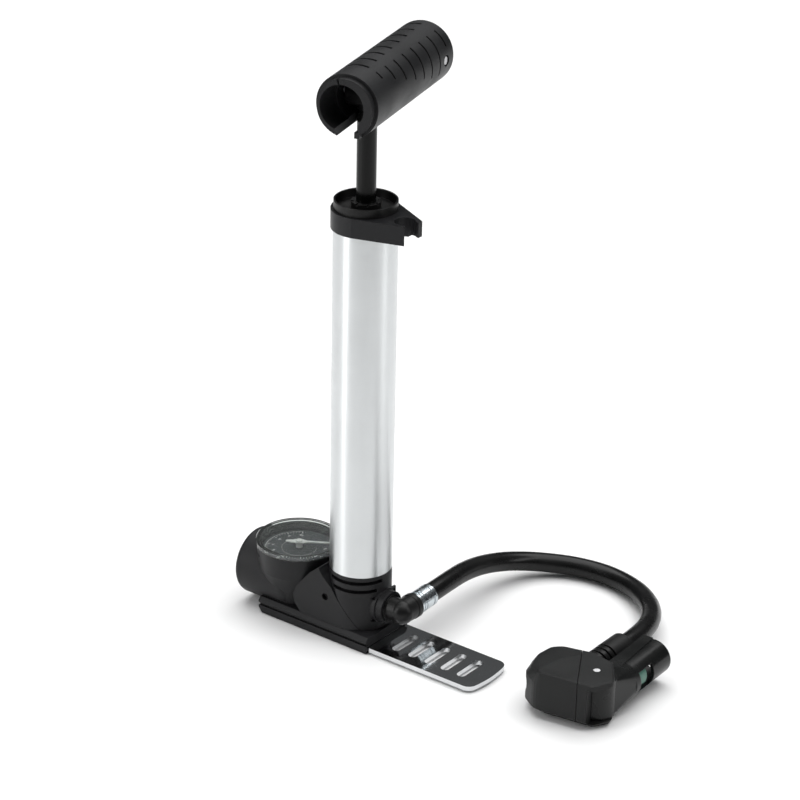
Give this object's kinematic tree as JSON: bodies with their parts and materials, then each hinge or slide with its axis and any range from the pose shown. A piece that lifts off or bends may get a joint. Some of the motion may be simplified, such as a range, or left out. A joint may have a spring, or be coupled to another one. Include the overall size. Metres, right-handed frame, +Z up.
{
  "type": "floor bike pump",
  "caption": "Compact floor pump with a folding T-handle, dial gauge, sliding foot plate and a hose with a lever head.",
  "frame": {"origin": "on the ground at the barrel's axis", "axes": "+X towards the foot plate's tip, +Y towards the hose, +Z up along the barrel"},
  "size_m": [0.224, 0.1573, 0.3084],
  "materials": {
    "foot_black": "fine grained",
    "rail_black": "satin moulded",
    "cap_black": "satin",
    "clip_black": "satin",
    "small_steel": "plain",
    "screw_black": "black oxide",
    "barrel_alloy": "satin anodised",
    "seal_rubber": "plain",
    "lens_clear": "clear",
    "dial_face": "printed",
    "needle_white": "smooth",
    "brass": "machined",
    "rod_black": "gloss",
    "inner_grey": "plain",
    "handle_black": "fine grained",
    "pin_steel": "turned",
    "plate_steel": "polished",
    "elbow_black": "satin",
    "ferrule_zinc": "plated",
    "hose_rubber": "smooth",
    "head_black": "satin moulded",
    "lever_black": "satin",
    "insert_green": "translucent"
  },
  "bodies": {
    "base": {"foot_channel": "rail_black", "foot_body": "foot_black", "gauge_housing": "foot_black", "housing_screws": "screw_black", "barrel": "barrel_alloy", "barrel_seal": "seal_rubber", "top_cap": "cap_black", "rod_bushing": "cap_black", "top_bumper": "seal_rubber", "hose_clip": "clip_black", "gauge_lens": "lens_clear", "gauge_dial": "dial_face", "gauge_movement": "brass", "gauge_stem_seal": "seal_rubber", "valve_seat": "brass", "check_spring": "small_steel", "elbow_clip": "screw_black"},
    "needle": {"gauge_needle": "needle_white"},
    "valve_disc": {"check_disc": "seal_rubber"},
    "seal_ring": {"piston_seal": "seal_rubber"},
    "rod": {"piston": "inner_grey", "pump_rod": "rod_black", "rod_plug": "small_steel", "piston_screw": "small_steel", "rod_end": "inner_grey"},
    "handle": {"handle_left_shell": "handle_black", "handle_right_shell": "handle_black", "handle_pin": "pin_steel", "handle_rivet": "pin_steel"},
    "plate": {"foot_plate": "plate_steel", "plate_stop_pin": "small_steel"},
    "hose_line": {"elbow": "elbow_black", "elbow_seal": "seal_rubber", "hose_ferrule": "ferrule_zinc", "hose": "hose_rubber", "hose_connector": "elbow_black", "connector_boot": "hose_rubber", "head_body": "head_black", "head_cap": "head_black", "head_gasket": "seal_rubber", "lever_pin": "pin_steel"},
    "plunger": {"head_plunger": "inner_grey"},
    "lever": {"head_lever": "lever_black", "lever_insert": "insert_green"}
  },
  "joints": [
    {"name": "pump_stroke", "type": "slide", "parent": "base", "child": "seal_ring", "axis": [0, 0, 1], "range_m": [-0.029, 0.121]},
    {"name": "handle_turn", "type": "hinge", "parent": "seal_ring", "child": "rod", "pos_m": [0, 0, 0.0865], "axis": [0, 0, 1], "continuous": true},
    {"name": "handle_fold", "type": "hinge", "parent": "rod", "child": "handle", "pos_m": [0, 0, 0.2924], "axis": [0.9703, 0.2419, 0], "range_deg": [0, 90]},
    {"name": "foot_plate_slide", "type": "slide", "parent": "base", "child": "plate", "axis": [-1, 0, 0], "range_m": [0, 0.048]},
    {"name": "hose_swivel", "type": "hinge", "parent": "base", "child": "hose_line", "pos_m": [0.014, 0, 0.0205], "axis": [1, 0, 0], "range_deg": [0, 180]},
    {"name": "head_lever_swing", "type": "hinge", "parent": "hose_line", "child": "lever", "pos_m": [0.1417, 0.0061, 0.013], "axis": [0, 0, -1], "range_deg": [0, 85]},
    {"name": "plunger_travel", "type": "slide", "parent": "hose_line", "child": "plunger", "axis": [0.9848, 0.1736, 0], "range_m": [0, 0.0008]},
    {"name": "gauge_needle_turn", "type": "hinge", "parent": "base", "child": "needle", "pos_m": [-0.0405, 0, 0.0372], "axis": [0, 0, -1], "range_deg": [0, 270], "stiffness_Nm_per_rad": 0.0002, "springref_deg": -17.19},
    {"name": "check_valve_lift", "type": "slide", "parent": "base", "child": "valve_disc", "axis": [0, 0, -1], "range_m": [0, 0.0012], "stiffness_N_per_m": 60, "springref_m": -0.003, "deforming": ["check_spring"]}
  ],
  "couplings": [
    {"joint": "plunger_travel", "follows": "head_lever_swing", "m_per_rad": 0.000539}
  ]
}
